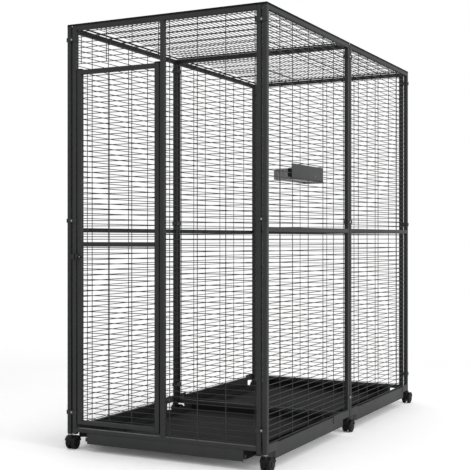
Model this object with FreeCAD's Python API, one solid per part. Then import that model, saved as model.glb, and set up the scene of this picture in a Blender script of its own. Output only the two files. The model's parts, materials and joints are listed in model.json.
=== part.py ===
import FreeCAD, Part
import math
import os
from FreeCAD import Vector

os.makedirs("parts", exist_ok=True)

# Frame of the cage, from the floor up
frame_width = 986.0
frame_depth = 1906.0
rail_top = 1892.0
foot_height = 72.0

# Square tube, top lip and the gap between bolted panels
tube = 20.0
panel_gap = 8.0
lip_height = 8.0
lip_thickness = 2.0
mid_rail_centre = 982.0
mid_rail_depth = 12.0

# Welded wire mesh
wire = 3.0
wire_pitch = 23.75
wire_margin = 4.0
side_upright_shares = (0.0274, 0.1707, 0.3098, 0.4932, 0.6776, 0.8177, 0.961)
rear_upright_shares = (-0.964, -0.6854, -0.3865, 0.0, 0.3865, 0.6854, 0.964)
front_edge_upright = 16.5
front_uprights = 4

# Front sill and mullion
sill_bottom = 83.0
mullion_centre = 0.0

# Door leaf and its pivots
door_gap = 6.0
door_bottom = 116.0
door_head = 198.0
door_mid_bottom = 909.0
door_mid_height = 20.0
door_edge_upright = 19.0
door_uprights_count = 4
pivot_radius = 4.0
pivot_length = 24.0
pivot_clearance = 0.05
pivot_plate = 3.0
pin_sides = 8
bush_thickness = 2.6
bush_clearance = 0.4

# Slide latch on the door
latch_height = 863.0
latch_plate = 2.5
latch_rise = 8.0
latch_block = 7.0
latch_half_height = 11.0
bolt_radius = 4.0
bolt_clearance = 0.05
bolt_length = 32.0
bolt_rest_gap = 3.0
knob_radius = 6.5
knob_length = 17.0
keeper_width = 14.0
keeper_clearance = 0.3

# Aprons, end plates, runners and tie
apron_bottom = 42.0
apron_top = 105.0
apron_inset = 2.0
sheet = 2.0
apron_flange = 14.0
apron_relief = 66.0
plate_bottom = 76.0
plate_top = 111.0
plate_overlap = 20.0
long_plate = 192.0
runner_reach = 12.0
runner_setback = 4.0
runner_stop = 16.0
runner_stop_gap = 2.0
swing_clearance = 2.0
tie_height = 20.0
tie_width = 16.0

# Floor trays
tray_face_width = 772.0
tray_face_bottom = 35.0
tray_rim = 76.0
tray_sheet = 1.5
tray_side_inset = 2.0
tray_lift = 0.3
tray_head_gap = 1.0
tray_end_gap = 14.0

# Roof panels
roof_rod = 5.0
roof_wire_margin = 40.0
roof_rod_offset = 3.5
roof_mid_offset = 16.0
roof_cross_pitch = 110.0
roof_cross_count = 8
roof_side_gap = 1.0

# Panel clamps
clamp_low = 166.0
clamp_mid_rise = 46.0
clamp_head = 53.0
clamp_height = 18.0
clamp_plate = 2.5
clamp_lip = 8.0
clamp_back_inset = 2.0

# Feeder on the right wall
feeder_bottom = 1200.0
feeder_height = 67.0
feeder_margin = 3.0
shelf_height = 1240.0
shelf_depth = 83.0
shelf_sheet = 3.0
skirt_drop = 44.0
pan_length = 150.0
pan_width = 62.0
pan_depth = 40.0
pan_sheet = 1.2
pan_rim = 5.0
pan_clearance = 1.0
pan_lift = 0.3

# Casters
wheel_radius = 30.0
wheel_width = 17.0
wheel_sides = 16
web_width = 10.0
web_clearance = 1.0
trail = 18.0
axle_radius = 4.0
axle_clearance = 0.05
hood_gap = 1.5
hood_sheet = 2.0
hood_sides = 8
hood_start = 10.0
hood_sweep = 150.0
stem_radius = 5.0
stem_length = 26.0
stem_clearance = 0.05
foot_clearance = 0.5
collar_radius = 9.0
collar_sides = 6

# Tolerance of the hollowing
shell_tolerance = 0.001

# Sizes that follow from those above
half_w = frame_width / 2
half_d = frame_depth / 2
side_length = (frame_depth - panel_gap) / 2
side_uprights = [share * side_length for share in side_upright_shares]
front_half = half_w - tube - panel_gap
rail_bottom = rail_top - tube
lip_top = rail_top + lip_height
sill_top = sill_bottom + tube
mid_low = mid_rail_centre - tube / 2
mid_high = mid_rail_centre + tube / 2
mullion_left = mullion_centre - tube / 2
mullion_right = mullion_centre + tube / 2
mesh_outer = mid_rail_depth
mesh_inner = mesh_outer + wire
door_left = -front_half + tube + door_gap
door_right = mullion_left - door_gap
door_top = rail_top - door_head
hinge_x = door_right - tube / 2
hinge_y = -half_d + tube / 2
bolt_y = -half_d - latch_rise
tray_floor = apron_bottom + sheet + sheet + tray_lift
front_reach = half_d + latch_rise - bolt_radius / 2 + knob_length
hood_reach = (wheel_radius + hood_gap + hood_sheet) * math.cos(math.radians(hood_start))
rear_reach = half_d - tube / 2 + trail + hood_reach
shift_y = (front_reach - rear_reach) / 2


def block(x0, x1, y0, y1, z0, z1):
    low = Vector(min(x0, x1), min(y0, y1), min(z0, z1))
    return Part.makeBox(abs(x1 - x0), abs(y1 - y0), abs(z1 - z0), low)


def prism(points, sweep):
    face = Part.Face(Part.makePolygon(points + [points[0]]))
    return face.extrude(sweep)


# A round bar as a regular prism along one axis, with its corners on the radius
def bar(radius, sides, start, sweep):
    across = Vector(sweep.y, sweep.z, sweep.x).normalize()
    up = sweep.cross(across).normalize()
    points = []
    for n in range(sides):
        turn = 2 * math.pi * (n + 0.5) / sides
        points.append(start + across * (radius * math.cos(turn)) + up * (radius * math.sin(turn)))
    return prism(points, sweep)


def pin(radius, start, sweep):
    return bar(radius, pin_sides, start, sweep)


# A bore whose flats keep the clearance from the corners of its pin
def bore(radius, clearance, start, sweep):
    return bar((radius + clearance) / math.cos(math.pi / pin_sides), pin_sides, start, sweep)


# A solid hollowed from its top face down to an even wall
def open_shell(solid, wall):
    top = max(solid.Faces, key=lambda face: face.CenterOfMass.z)
    return solid.makeThickness([top], -wall, shell_tolerance)


def fuse(shapes):
    joined = shapes[0].multiFuse(shapes[1:])
    return joined.removeSplitter().Solids[0]


def save(name, solids):
    shape = solids[0] if len(solids) == 1 else Part.makeCompound(solids)
    moved = shape.copy()
    moved.translate(Vector(0, shift_y, 0))
    moved.exportStep("parts/" + name + ".step")


# Places on a panel: u runs along it, v runs inwards from its outer face
def side_at(side, start):
    def at(u, v, z):
        return Vector(side * (half_w - v), start + u, z)
    return at


def front_at(u, v, z):
    return Vector(u, -half_d + v, z)


def rear_at(u, v, z):
    return Vector(u, half_d - v, z)


# Bars between limits on a panel
def bars_on(at):
    def put(u0, u1, v0, v1, z0, z1):
        a = at(u0, v0, z0)
        b = at(u1, v1, z1)
        return block(a.x, b.x, a.y, b.y, a.z, b.z)
    return put


def side_place(side, start):
    return bars_on(side_at(side, start))


front_place = bars_on(front_at)
rear_place = bars_on(rear_at)


def wire_levels(low, high):
    steps = int((high - low - 2 * wire_margin) / wire_pitch)
    first = low + (high - low - steps * wire_pitch) / 2
    return [first + n * wire_pitch for n in range(steps + 1)]


def spread(low, high, edge, count):
    pitch = (high - low - 2 * edge) / (count - 1)
    return [low + edge + n * pitch for n in range(count)]


def clear_of(levels, low, high):
    return [z for z in levels if z + wire < low or z - wire > high]


def horizontals(put, levels, u0, u1):
    return [put(u0, u1, mesh_outer, mesh_inner, z - wire / 2, z + wire / 2) for z in levels]


def uprights(put, places, low, high):
    return [put(u - wire / 2, u + wire / 2, mesh_inner, mesh_inner + wire, low, high) for u in places]


def stem_bore(side, y):
    base = Vector(side * (half_w - tube / 2), y, foot_height)
    return bore(stem_radius, stem_clearance, base, Vector(0, 0, stem_length))


# Side wall panels
side_levels = wire_levels(apron_top, rail_bottom)


def side_panel(name, side, start, caster_at_start):
    put = side_place(side, start)
    end = side_length
    near_stile = put(0, tube, 0, tube, foot_height, rail_top)
    far_stile = put(end - tube, end, 0, tube, foot_height, rail_top)
    top_rail = put(tube, end - tube, 0, tube, rail_bottom, rail_top)
    lip = put(0, end, 0, lip_thickness, rail_top, lip_top)
    mid_rail = put(tube, end - tube, 0, mid_rail_depth, mid_low, mid_high)
    rows = horizontals(put, clear_of(side_levels, mid_low, mid_high), tube, end - tube)
    frame = fuse([near_stile, top_rail, lip, mid_rail] + rows)
    if caster_at_start:
        frame = frame.cut(stem_bore(side, start + tube / 2)).Solids[0]
    far_stile = far_stile.cut(stem_bore(side, start + end - tube / 2)).Solids[0]
    save(name, [frame, far_stile] + uprights(put, side_uprights, apron_top, rail_bottom))


front_start = -half_d
rear_start = panel_gap / 2
side_panel("left_front_panel", -1, front_start, True)
side_panel("left_rear_panel", -1, rear_start, False)
side_panel("right_front_panel", 1, front_start, True)
side_panel("right_rear_panel", 1, rear_start, False)

# Front wall: stile, rails, fixed field and transom mesh
front_inner = front_half - tube
rear_uprights = [share * front_inner for share in rear_upright_shares]
left_stile = front_place(-front_half, -front_inner, 0, tube, foot_height, rail_top)
save("front_left_stile", [left_stile])

front_rail = front_place(-front_inner, front_inner, 0, tube, rail_bottom, rail_top)
lip_end = half_w - lip_thickness
front_lip = front_place(-lip_end, lip_end, 0, lip_thickness, rail_top, lip_top)
save("front_top_rail", [fuse([front_rail, front_lip])])
save("front_sill_rail", [front_place(-front_inner, front_inner, 0, tube, sill_bottom, sill_top)])

fixed_levels = wire_levels(sill_top, rail_bottom)
mullion = front_place(mullion_left, mullion_right, 0, tube, sill_top, rail_bottom)
fixed_rows = horizontals(front_place, fixed_levels, mullion_right, front_inner)
right_stile = front_place(front_inner, front_half, 0, tube, foot_height, rail_top)
fixed_places = spread(mullion_right, front_inner, front_edge_upright, front_uprights)
fixed_uprights = uprights(front_place, fixed_places, sill_top, rail_bottom)
save("front_fixed_panel", [fuse([mullion] + fixed_rows), right_stile] + fixed_uprights)

transom_levels = [z for z in fixed_levels if z > door_top + wire_pitch]
transom_bottom = transom_levels[0]
transom_rows = horizontals(front_place, transom_levels, -front_inner, mullion_left)
transom_places = spread(-front_inner, mullion_left, front_edge_upright, front_uprights)
transom_uprights = uprights(front_place, transom_places, transom_bottom - wire / 2, rail_bottom)
save("front_transom_mesh", transom_rows + transom_uprights)

# Rear wall panel
rear_stile = rear_place(-front_half, -front_inner, 0, tube, foot_height, rail_top)
rear_far_stile = rear_place(front_inner, front_half, 0, tube, foot_height, rail_top)
rear_rail = rear_place(-front_inner, front_inner, 0, tube, rail_bottom, rail_top)
rear_lip = rear_place(-lip_end, lip_end, 0, lip_thickness, rail_top, lip_top)
rear_mid = rear_place(-front_inner, front_inner, 0, mid_rail_depth, mid_low, mid_high)
rear_sill = rear_place(-front_inner, front_inner, 0, tube, sill_bottom, sill_top)
rear_rows = horizontals(rear_place, clear_of(fixed_levels, mid_low, mid_high), -front_inner, front_inner)
rear_frame = fuse([rear_stile, rear_rail, rear_lip, rear_mid, rear_sill] + rear_rows)
save("rear_panel", [rear_frame, rear_far_stile] + uprights(rear_place, rear_uprights, sill_top, rail_bottom))

# Roof panels and the cross beam between the middle posts
roof_x = half_w - tube - roof_rod_offset
roof_low = rail_top + wire
roof_high = roof_low + roof_rod
cross_x = half_w - lip_thickness - roof_side_gap


def roof_panel(name, y0, y1):
    near_rod = block(-roof_x, roof_x, y0, y0 + roof_rod, roof_low, roof_high)
    far_rod = block(-roof_x, roof_x, y1 - roof_rod, y1, roof_low, roof_high)
    inner = roof_x - roof_rod
    sides = []
    for s in (-1, 1):
        sides.append(block(s * inner, s * roof_x, y0 + roof_rod, y1 - roof_rod, roof_low, roof_high))
    rows = []
    wire_top = roof_low + wire
    for x in wire_levels(-inner + roof_wire_margin, inner - roof_wire_margin):
        rows.append(block(x - wire / 2, x + wire / 2, y0 + roof_rod, y1 - roof_rod, roof_low, wire_top))
    crossings = []
    for n in range(roof_cross_count):
        y = (y0 + y1) / 2 + (n - (roof_cross_count - 1) / 2) * roof_cross_pitch
        crossings.append(block(-cross_x, cross_x, y - wire / 2, y + wire / 2, rail_top, rail_top + wire))
    save(name, [fuse([near_rod] + sides + rows), far_rod] + crossings)


roof_front = half_d - tube - roof_rod_offset
roof_panel("roof_front_panel", -roof_front, -roof_mid_offset)
roof_panel("roof_rear_panel", roof_mid_offset, roof_front)
beam_x = half_w - tube
save("roof_cross_beam", [block(-beam_x, beam_x, -tube / 2, tube / 2, rail_bottom, rail_top)])

# Door leaf: free stile, rails and wires in one weldment, hinge stile beside it
door_inner_left = door_left + tube
door_inner_right = door_right - tube
free_stile = front_place(door_left, door_inner_left, 0, tube, door_bottom, door_top)
door_rails = [
    front_place(door_inner_left, door_inner_right, 0, tube, door_top - tube, door_top),
    front_place(door_inner_left, door_inner_right, 0, tube, door_bottom, door_bottom + tube),
]
door_mid_top = door_mid_bottom + door_mid_height
door_mid = front_place(door_inner_left, door_inner_right, 0, mid_rail_depth, door_mid_bottom, door_mid_top)
door_levels = clear_of(wire_levels(door_bottom + tube, door_top - tube), door_mid_bottom, door_mid_top)
door_rows = horizontals(front_place, door_levels, door_inner_left, door_inner_right)
leaf = fuse([free_stile, door_mid] + door_rails + door_rows)
hinge_stile = front_place(door_inner_right, door_right, 0, tube, door_bottom, door_top)
pivot_depth = pivot_length + bush_clearance
for z, up in ((door_top, -1), (door_bottom, 1)):
    mouth = Vector(hinge_x, hinge_y, z)
    hinge_stile = hinge_stile.cut(bore(pivot_radius, pivot_clearance, mouth, Vector(0, 0, up * pivot_depth)))
door_places = spread(door_inner_left, door_inner_right, door_edge_upright, door_uprights_count)
door_uprights = uprights(front_place, door_places, door_bottom + tube, door_top - tube)
save("door_panel", [leaf, hinge_stile.Solids[0]] + door_uprights)


# Door pivots: a bush on each end of the hinge stile and a tab with a pin on the mullion
bushes = []
tabs = []


def door_pivot(stile_end, up):
    bush_end = stile_end + up * bush_thickness
    tab_start = bush_end + up * bush_clearance
    tab_end = tab_start + up * pivot_plate
    bush = front_place(door_inner_right, door_right, 0, tube, stile_end, bush_end)
    axis_point = Vector(hinge_x, hinge_y, tab_end)
    run = Vector(0, 0, -up * (pivot_length + pivot_plate))
    bushes.append(bush.cut(bore(pivot_radius, pivot_clearance, axis_point, run)).Solids[0])
    tab = front_place(door_inner_right, mullion_left, 0, tube, tab_start, tab_end)
    tabs.append(fuse([tab, pin(pivot_radius, axis_point, run)]))


door_pivot(door_top, 1)
door_pivot(door_bottom, -1)
save("door_bushes", bushes)
save("hinge_tabs", tabs)

# Slide latch: guide block on the door, bolt with knob, keeper on the fixed stile
latch_low = latch_height - latch_half_height
latch_high = latch_height + latch_half_height
latch_face = -half_d
block_out = bolt_y - bolt_radius - latch_plate
back = block(door_left, door_inner_left, latch_face - latch_plate, latch_face, latch_low, latch_high)
guide = block(door_left, door_left + latch_block, block_out, latch_face - latch_plate, latch_low, latch_high)
guide_mouth = Vector(door_left, bolt_y, latch_height)
guide_bore = bore(bolt_radius, bolt_clearance, guide_mouth, Vector(latch_block, 0, 0))
save("latch_body", [fuse([back, guide]).cut(guide_bore).Solids[0]])

keeper_right = -front_inner - sheet
bolt_tip = keeper_right + bolt_rest_gap
shank = pin(bolt_radius, Vector(bolt_tip, bolt_y, latch_height), Vector(bolt_length, 0, 0))
knob_x = bolt_tip + bolt_length
knob_back = bolt_y + bolt_radius / 2
knob = pin(knob_radius, Vector(knob_x, knob_back, latch_height), Vector(0, -knob_length, 0))
save("latch_bolt", [fuse([shank, knob])])

keeper_left = keeper_right - keeper_width
loop = bolt_radius + keeper_clearance
keeper_cheeks = [
    block(keeper_left, keeper_right, block_out, latch_face, latch_height + loop, latch_high),
    block(keeper_left, keeper_right, block_out, latch_face, latch_low, latch_height - loop),
]
strap_low = latch_height - loop
strap = block(keeper_left, keeper_right, block_out, bolt_y - loop, strap_low, latch_height + loop)
save("latch_keeper", keeper_cheeks + [strap])

# Aprons between the wall stiles, their end plates and the tray runners
apron_start = tube + apron_relief
apron_end = side_length - tube - apron_relief
tray_half = tray_face_width / 2
runner_inner = half_w - (tray_half - runner_reach)
swing = math.hypot(trail + hood_reach, web_width / 2 + web_clearance + wheel_width)
tongue_outer = tube / 2 + swing + swing_clearance
stop_inner = half_w - tray_half - runner_stop_gap
end_plates = []


def apron_set(name, side, start, near_length, far_length, tongue):
    put = side_place(side, start)
    skin_in = apron_inset + sheet
    flange_in = skin_in + apron_flange
    low = apron_bottom + sheet
    high = low + sheet
    bent = ((apron_inset, apron_bottom), (apron_inset, apron_top), (tube, apron_top),
            (tube, apron_top - sheet), (skin_in, apron_top - sheet), (skin_in, low),
            (flange_in, low), (flange_in, apron_bottom))
    at = side_at(side, start)
    section = [at(apron_start, v, z) for v, z in bent]
    save(name + "_apron", [prism(section, Vector(0, apron_end - apron_start, 0))])
    ledge = put(apron_start, apron_end, skin_in, runner_inner, low, high)
    tip, root = tongue
    inward = sheet if root > tip else -sheet
    reach = put(tip, root, tongue_outer, runner_inner, low, high)
    stop = put(tip, tip + inward, tongue_outer, stop_inner, high, high + runner_stop)
    save(name + "_runner", [ledge, reach, stop])
    end_plates.append(put(tube, tube + near_length, 0, apron_inset, plate_bottom, plate_top))
    far = side_length - tube
    end_plates.append(put(far - far_length, far, 0, apron_inset, plate_bottom, plate_top))


short_plate = apron_relief + plate_overlap
front_tongue = (runner_setback, apron_start)
rear_tongue = (side_length - runner_setback, apron_end)
for side, word in ((-1, "left"), (1, "right")):
    apron_set(word + "_front", side, front_start, short_plate, long_plate, front_tongue)
    apron_set(word + "_rear", side, rear_start, short_plate, short_plate, rear_tongue)
save("apron_end_plates", end_plates)
tie = block(-beam_x, beam_x, -tie_width / 2, tie_width / 2, foot_height, foot_height + tie_height)
save("base_cross_tie", [tie])


# Floor trays: a folded pan with a tall face, one to the front and one to the rear
def tray(name, side):
    face_out = side * half_d
    pan_out = face_out - side * sheet
    pan_in = side * tray_end_gap
    pan_half = tray_half - tray_side_inset
    face = block(-tray_half, tray_half, face_out, pan_out, tray_face_bottom, sill_bottom - tray_head_gap)
    pan = block(-pan_half, pan_half, pan_out, pan_in, tray_floor, tray_rim)
    save(name, [fuse([face, open_shell(pan, tray_sheet)])])


tray("front_tray", -1)
tray("rear_tray", 1)


# Panel clamps: an outer saddle and a back plate at three heights on every post pair
def clamp_level(target):
    gaps = [z + wire_pitch / 2 for z in side_levels]
    return min(gaps, key=lambda z: abs(z - target))


saddles = []
backs = []
pair = 2 * tube + panel_gap


def clamp(at, u0, z):
    low = z - clamp_height / 2
    high = z + clamp_height / 2
    u1 = u0 + pair
    outer0 = u0 - clamp_plate
    outer1 = u1 + clamp_plate
    bent = ((outer0, -clamp_plate), (outer1, -clamp_plate), (outer1, clamp_lip), (u1, clamp_lip),
            (u1, 0), (u0, 0), (u0, clamp_lip), (outer0, clamp_lip))
    saddles.append(prism([at(u, v, low) for u, v in bent], Vector(0, 0, clamp_height)))
    inset = clamp_back_inset
    backs.append(bars_on(at)(u0 + inset, u1 - inset, tube, tube + clamp_plate, low, high))


for target in (clamp_low, mid_rail_centre + clamp_mid_rise, rail_top - clamp_head):
    level = clamp_level(target)
    for at in (front_at, rear_at):
        clamp(at, -half_w, level)
        clamp(at, half_w - pair, level)
    for side in (-1, 1):
        clamp(side_at(side, -pair / 2), 0, level)
save("panel_clamps", saddles)
save("clamp_back_plates", backs)

# Feeder: back plate on the uprights, shelf with two openings, skirt and two pans
wall_in = half_w - mesh_inner - wire
feeder_y0 = front_start + side_uprights[2] - feeder_margin
feeder_y1 = front_start + side_uprights[4] + feeder_margin
plate_in = wall_in - sheet
feeder_top = feeder_bottom + feeder_height
save("feeder_back", [block(plate_in, wall_in, feeder_y0, feeder_y1, feeder_bottom, feeder_top)])

shelf_x = plate_in - shelf_depth
shelf_top = shelf_height + shelf_sheet
pan_x = (shelf_x + plate_in) / 2
feeder_mid = (feeder_y0 + feeder_y1) / 2
pan_step = (feeder_y1 - feeder_y0) / 4
pan_centres = (feeder_mid - pan_step, feeder_mid + pan_step)
hole_w = pan_width / 2 + pan_clearance
hole_l = pan_length / 2 + pan_clearance
strips = [
    block(shelf_x, pan_x - hole_w, feeder_y0, feeder_y1, shelf_height, shelf_top),
    block(pan_x + hole_w, plate_in, feeder_y0, feeder_y1, shelf_height, shelf_top),
]
strip_ends = (feeder_y0, pan_centres[0] - hole_l, pan_centres[0] + hole_l,
              pan_centres[1] - hole_l, pan_centres[1] + hole_l, feeder_y1)
for n in (0, 2, 4):
    near, far = strip_ends[n:n + 2]
    strips.append(block(pan_x - hole_w, pan_x + hole_w, near, far, shelf_height, shelf_top))
save("feeder_shelf", strips)
skirt_low = shelf_height - skirt_drop
skirts = [block(shelf_x, shelf_x + sheet, feeder_y0, feeder_y1, skirt_low, shelf_height)]
for y in (feeder_y0, feeder_y1 - sheet):
    skirts.append(block(shelf_x + sheet, plate_in, y, y + sheet, skirt_low, shelf_height))
save("feeder_skirt", skirts)

for word, y in zip(("front", "rear"), pan_centres):
    rim_low = shelf_top + pan_lift
    rim_top = rim_low + pan_sheet
    half_x = pan_width / 2
    half_y = pan_length / 2
    rim_x = half_x + pan_rim
    rim_y = half_y + pan_rim
    body = block(pan_x - half_x, pan_x + half_x, y - half_y, y + half_y, rim_top - pan_depth, rim_top)
    rim = block(pan_x - rim_x, pan_x + rim_x, y - rim_y, y + rim_y, rim_low, rim_top).cut(body)
    save("feeder_pan_" + word, [fuse([open_shell(body, pan_sheet), rim])])


# Twin-wheel casters: a hooded housing with its stem and a pair of wheels on one axle
def arc_points(radius, start, sweep, count, x, y, z):
    points = []
    for n in range(count + 1):
        angle = math.radians(start + sweep * n / count)
        points.append(Vector(x, y + radius * math.cos(angle), z + radius * math.sin(angle)))
    return points


hood_in = wheel_radius + hood_gap
hood_out = hood_in + hood_sheet
wheel_in = web_width / 2 + web_clearance
wheel_out = wheel_in + wheel_width
collar_top = foot_height - foot_clearance


def caster(name, x, y):
    axle_y = y + trail
    axle_z = wheel_radius * math.cos(math.pi / wheel_sides)
    left = x - web_width / 2
    outer = arc_points(hood_out, hood_start, hood_sweep, hood_sides, x - wheel_out, axle_y, axle_z)
    inner = arc_points(hood_in, hood_start, hood_sweep, hood_sides, x - wheel_out, axle_y, axle_z)
    hood = prism(outer + inner[::-1], Vector(2 * wheel_out, 0, 0))
    low_z = axle_z - 2 * axle_radius
    foot = [Vector(x - wheel_out, axle_y + s * 2 * axle_radius, low_z) for s in (-1, 1)]
    room = prism(inner + foot, Vector(wheel_width + web_clearance, 0, 0))
    far_room = room.copy()
    far_room.translate(Vector(wheel_out + web_width / 2, 0, 0))
    web_points = [p + Vector(wheel_out - web_width / 2, 0, 0) for p in inner + foot]
    web = prism(web_points, Vector(web_width, 0, 0))
    collar_start = axle_z + hood_in / 2
    collar_rise = Vector(0, 0, collar_top - collar_start)
    collar = bar(collar_radius, collar_sides, Vector(x, y, collar_start), collar_rise)
    boss = collar.cut(room).cut(far_room)
    stem = pin(stem_radius, Vector(x, y, collar_top), Vector(0, 0, stem_length - foot_clearance))
    axle_hole = bore(axle_radius, axle_clearance, Vector(left, axle_y, axle_z), Vector(web_width, 0, 0))
    housing = fuse([hood, web, boss, stem]).cut(axle_hole)
    save(name + "_housing", [housing.Solids[0]])
    axle_set = [pin(axle_radius, Vector(x - wheel_in, axle_y, axle_z), Vector(2 * wheel_in, 0, 0))]
    for s in (-1, 1):
        inside = Vector(x + s * wheel_in, axle_y, axle_z)
        axle_set.append(bar(wheel_radius, wheel_sides, inside, Vector(s * wheel_width, 0, 0)))
    save(name + "_wheels", [fuse(axle_set)])


caster_rows = (
    ("front", front_start + tube / 2),
    ("middle", front_start + side_length - tube / 2),
    ("rear", rear_start + side_length - tube / 2),
)
for side, word in ((-1, "left"), (1, "right")):
    for row, y in caster_rows:
        caster("caster_" + word + "_" + row, side * (half_w - tube / 2), y)
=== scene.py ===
import json
import logging
import math
from dataclasses import dataclass, field
from enum import Enum
from functools import cache

import bpy
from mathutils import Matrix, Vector

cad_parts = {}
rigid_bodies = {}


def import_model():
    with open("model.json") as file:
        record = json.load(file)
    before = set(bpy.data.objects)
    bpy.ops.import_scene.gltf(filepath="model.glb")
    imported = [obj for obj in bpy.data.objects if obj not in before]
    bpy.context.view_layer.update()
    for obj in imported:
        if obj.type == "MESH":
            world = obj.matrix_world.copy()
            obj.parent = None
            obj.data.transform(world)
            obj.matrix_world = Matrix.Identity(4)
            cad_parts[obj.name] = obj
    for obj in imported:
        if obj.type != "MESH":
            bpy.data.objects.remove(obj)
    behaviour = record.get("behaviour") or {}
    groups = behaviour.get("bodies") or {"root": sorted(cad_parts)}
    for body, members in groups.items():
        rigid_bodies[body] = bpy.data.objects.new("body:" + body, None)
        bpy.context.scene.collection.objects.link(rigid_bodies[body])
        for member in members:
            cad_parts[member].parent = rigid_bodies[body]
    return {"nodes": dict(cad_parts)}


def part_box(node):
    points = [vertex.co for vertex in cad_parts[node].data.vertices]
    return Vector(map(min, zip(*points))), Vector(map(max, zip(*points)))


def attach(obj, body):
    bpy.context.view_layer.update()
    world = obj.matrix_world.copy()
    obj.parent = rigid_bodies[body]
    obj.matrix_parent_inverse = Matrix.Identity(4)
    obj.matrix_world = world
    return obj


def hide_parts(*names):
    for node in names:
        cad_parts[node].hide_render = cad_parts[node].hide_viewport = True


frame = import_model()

LOG = logging.getLogger("aviary")

# Short type names
Piece = bpy.types.Object
Tree, Node, Socket = bpy.types.NodeTree, bpy.types.Node, bpy.types.NodeSocket
Pair = tuple[float, float]
Triple = tuple[float, float, float]
Corner = Triple | Vector

# Directions
RIGHT, BACK, FORWARD, UP = Vector((1, 0, 0)), Vector((0, 1, 0)), Vector((0, -1, 0)), Vector((0, 0, 1))

# Stock of the frame, in metres
LIP_SHEET = 0.002
LIP_LAP = 0.0012
LIP_PROUD = 0.0003
LOW_LIP = 0.0035
SHEET = 0.002
MID_RAIL = 0.982
MID_DEPTH = 0.012
TOP_DEPTH = 0.017
UPRIGHT_LAP = 0.012
SILL_TRIM = 0.0025
# Depth of the sill's top strip, which carries a painted highlight
SILL_HIGHLIGHT_BAND = 0.001
APRON_TRIM = 0.0035
APRON_FLANGE = 0.014
DOOR_TRIM = 0.0025
WIRE = 0.003
WIRE_RADIUS = 0.0017
PITCH = 0.02375
WIRE_MARGIN = 0.004
WIRE_SIDES = 8
WIRE_SINK = 0.001
WIRE_GAP_LIMIT = 1.5 * PITCH
TUBE_ROUND = 0.0018
SHEET_ROUND = 0.0005
SMOOTH_ANGLE = math.radians(40)
FACING = 0.99

# Mesh uprights, measured along each panel
SIDE_UPRIGHTS = (0.026, 0.162, 0.294, 0.468, 0.643, 0.776, 0.909)
REAR_UPRIGHTS = (-0.429, -0.303, -0.172, 0.0, 0.171, 0.301, 0.429)
LEFT_SHIFT = 0.006
FRONT_EDGES = (0.0187, 0.013)
TRANSOM_EDGES = (0.0165, 0.0165)
DOOR_EDGES = (0.0232, 0.0091)
DOOR_STILE_LAP = 0.0012
DOOR_PLUG_RISE = 0.005
FRONT_UPRIGHTS = 4
DOOR_MID = (0.909, 0.929)

# Roof
ROOF_ROD = 0.005
ROOF_ROD_SEEN = 0.007
ROOF_ROD_OFFSET = 0.0035
ROOF_WIRE_MARGIN = 0.040
ROOF_CROSS_PITCH = 0.110
ROOF_CROSS_COUNT = 8

# Tray runners
TONGUE_OUTER = 0.095
RUNNER_STOP_GAP = 0.002

# Floor trays
TRAY_FLOOR = 0.0463
TRAY_RIM = 0.076
TRAY_SHEET = 0.0015
TRAY_SIDE_INSET = 0.002

# Panel clamps
CLAMP_PLATE = 0.0025
CLAMP_AIMS = (0.166, 1.028, 1.839)
HALF_PANEL_GAP = 0.004
BOLT_RADIUS = 0.0042
BOLT_RISE = 0.0024
BOLT_RINGS = ((1, 0), (1, 0.4), (0.8, 0.75), (0.4, 1))
BOLT_SIDES = 14

# Latch
LATCH_BLOCK = 0.007
LATCH_RISE = 0.008
SHANK_RADIUS = 0.004
SHANK_POINT = 0.003
SHANK_CHAMFER = 0.001
SHANK_SIDES = 20
KEEPER_LOOP = 0.0043
KNOB_NECK = 0.0035
KNOB_NECK_SHARE = 0.45
KNOB_RINGS = ((0.8, 0.52), (1, 0.65), (1, 0.84), (0.8, 0.93), (0.5, 0.96))
KNOB_SIDES = 24
# A bright zinc disc on the knob's face: a painted highlight
KNOB_HIGHLIGHT = 0.0026
KNOB_HIGHLIGHT_RINGS = ((1, 0.94), (1, 0.98), (0.6, 1))
KNOB_HIGHLIGHT_SIDES = 16

# Feeder
PAN_RIM = 0.005
PAN_SHEET = 0.0012
PAN_HOLE_LAP = 0.001
PLATE_TRIM = 0.006
SKIRT_TRIM = 0.003
PLATE_STEP = (0.0084, -0.0165, 0.0)
# Black strips at the feeder skirt's ends: painted shade
FEEDER_SHADE_WIDTH = 0.017
FEEDER_SHADE_FOOT = 0.011
FEEDER_SHADE_HEAD = 0.008
FEEDER_SHADE_SHEET = 0.001
FEEDER_BOLT_ALONG = 0.548
FEEDER_BOLT_HEIGHT = 1.223
FEEDER_BOLT_RADIUS = 0.0045
FEEDER_BOLT_RINGS = ((1, 0), (1, 0.5), (0.7, 1))

# Casters
TRAIL = 0.018
WEB_WIDTH = 0.010
WHEEL_GAP = 0.001
HOOD_GAP = 0.0015
HOOD_SHEET = 0.002
HOOD_START = 10.0
HOOD_SWEEP = 150.0
HOOD_STEPS = 16
WEB_FOOT = 0.008
WEB_SIDES = 40
COLLAR_RADIUS = 0.009
COLLAR_SIDES = 24
STEM_RADIUS = 0.005
NUT_REACH = 0.0095
NUT_SIDES = 6
NUT_HEIGHT = 0.006
NUT_CHAMFER = 0.001
# A black flange in place of the zinc nut on the middle and rear casters: painted shade
SHADE_FLANGE_REACH = 0.016
SHADE_FLANGE_SIDES = 24
FOOT_CLEARANCE = 0.0005
HUB_RADIUS = 0.004
HUB_SIDES = 16
# A wheel's rings: inner chamfer, then inset from the tread or radius, with shares of the width
WHEEL_CHAMFER = (0.003, 0.002)
WHEEL_TREAD = ((0, 0.7), (0.001, 0.86), (0.004, 0.97), (0.007, 1), (0.009, 0.9))
WHEEL_CAP = ((0.012, 0.8), (0.011, 0.95), (0.008, 1))
WHEEL_SIDES = 36

# Looks
BUMP_DEPTH = 0.0002
DUST = (0.20, 0.19, 0.18)
DUST_HEIGHT = 0.5
DUST_LEAST = 0.25
DUST_NOISE = (7, 5)
WHITE = (1, 1, 1, 1)

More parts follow.
